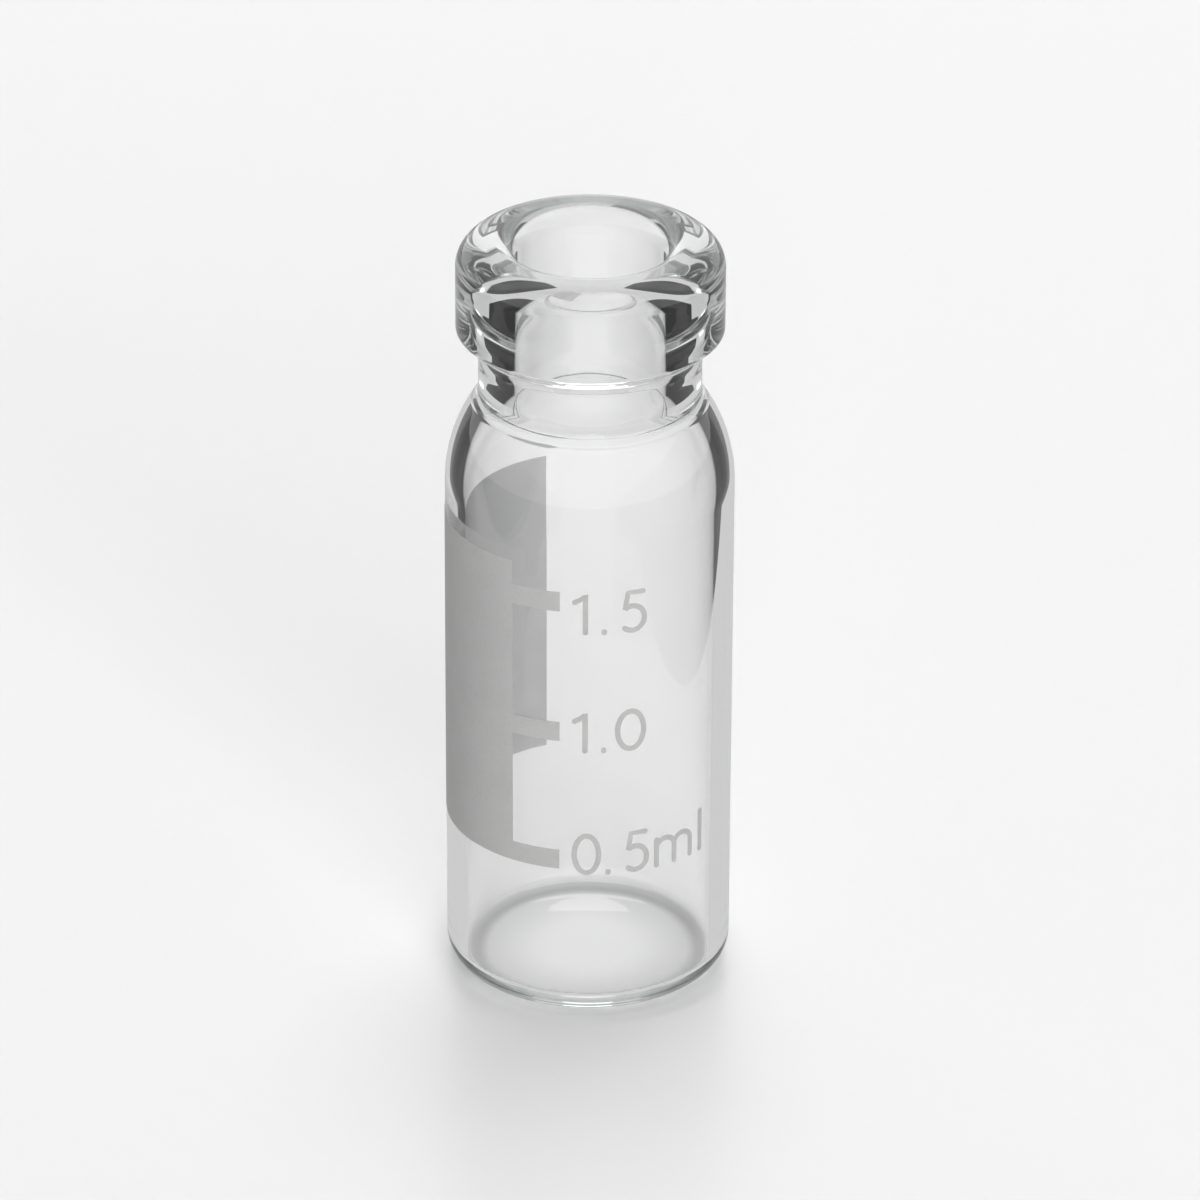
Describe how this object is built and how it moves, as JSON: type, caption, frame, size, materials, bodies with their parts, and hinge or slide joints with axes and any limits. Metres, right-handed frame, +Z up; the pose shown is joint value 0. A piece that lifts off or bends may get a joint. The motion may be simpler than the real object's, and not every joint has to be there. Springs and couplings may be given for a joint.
{
  "type": "glass sample vial",
  "caption": "Open glass sample vial with a crimp bead, straight body, push-up foot and a fired enamel writing patch with graduation bars.",
  "frame": {"origin": "middle of the foot, on the surface that the vial stands on", "axes": "+Z up the vial's axis to the mouth, -Y towards the middle of the printed scale, writing patch on the -X side"},
  "size_m": [0.0116, 0.0116, 0.032],
  "materials": {
    "glass": "clear fire-polished borosilicate glass",
    "enamel": "grey fired ceramic enamel, satin"
  },
  "bodies": {
    "root": {"vial": "glass", "printed_scale": "enamel"}
  },
  "joints": []
}
